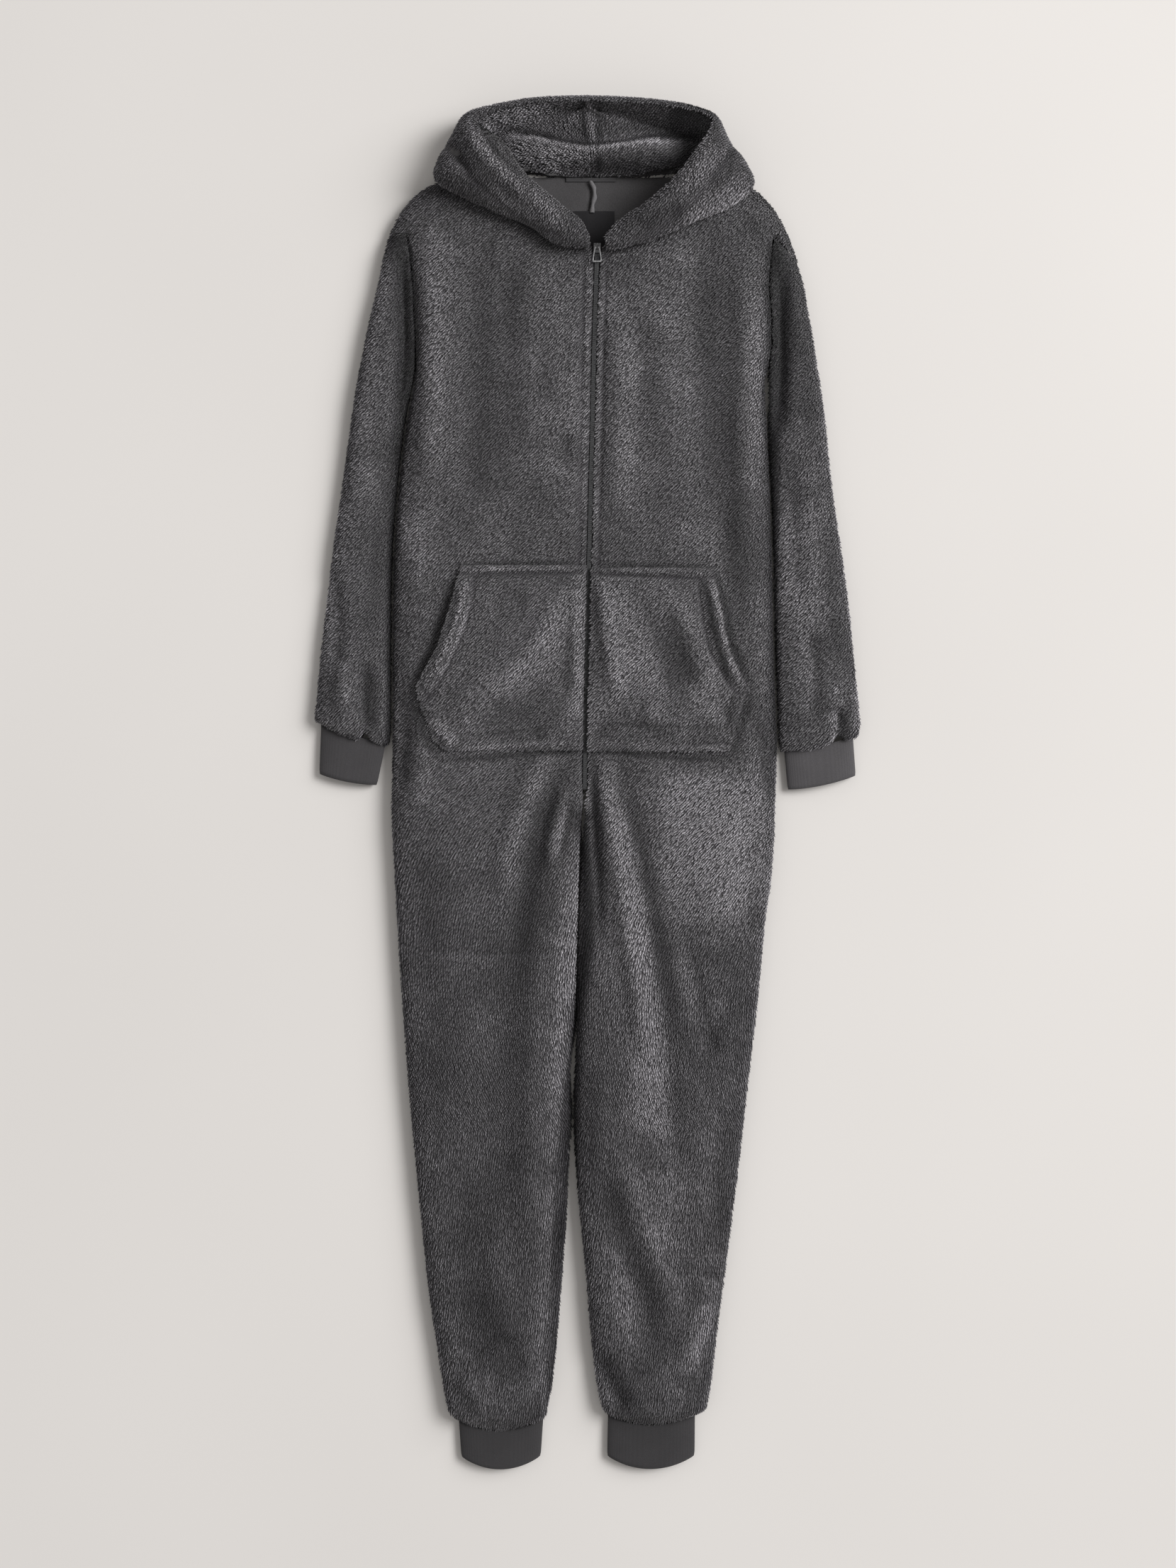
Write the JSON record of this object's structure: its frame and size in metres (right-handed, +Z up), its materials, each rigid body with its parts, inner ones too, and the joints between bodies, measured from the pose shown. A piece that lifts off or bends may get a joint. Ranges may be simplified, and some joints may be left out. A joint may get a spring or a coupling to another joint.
{
  "type": "onesie pajama",
  "caption": "Hooded one-piece pajama in charcoal teddy fleece, zip front, kangaroo pocket, rib cuffs, lying flat on its back.",
  "frame": {"origin": "centre of the bounding box at its lowest plane, on the surface the garment lies on", "axes": "+Z up out of the surface; +Y from the ankles to the hood; +X towards the wearer's left side"},
  "size_m": [0.6586, 1.658, 0.0818],
  "materials": {
    "fleece": "pile",
    "rib": "ribbed knit",
    "knit": "matte",
    "label": "matte",
    "tape": "matte",
    "coil": "matte",
    "metal": "satin"
  },
  "bodies": {
    "garment": {"front_left": "fleece", "front_right": "fleece", "back_left": "fleece", "back_right": "fleece", "sleeve_left": "fleece", "sleeve_right": "fleece", "hood_left": "fleece", "hood_right": "fleece", "hood_lining_left": "fleece", "hood_lining_right": "fleece", "pocket_left": "fleece", "pocket_right": "fleece", "wrist_cuff_left": "rib", "wrist_cuff_right": "rib", "ankle_cuff_left": "rib", "ankle_cuff_right": "rib", "neck_binding": "knit", "back_seam_allowance": "knit", "neck_label": "label", "zip_tape_left": "tape", "zip_tape_right": "tape", "zip_coil": "coil", "zip_slider": "metal"},
    "pull": {"zip_pull": "metal"}
  },
  "joints": [
    {"name": "pull_hinge", "type": "hinge", "parent": "garment", "child": "pull", "pos_m": [0.0115, 0.6466, 0.03375], "axis": [-1, 0, 0], "range_deg": [0, 160]}
  ]
}
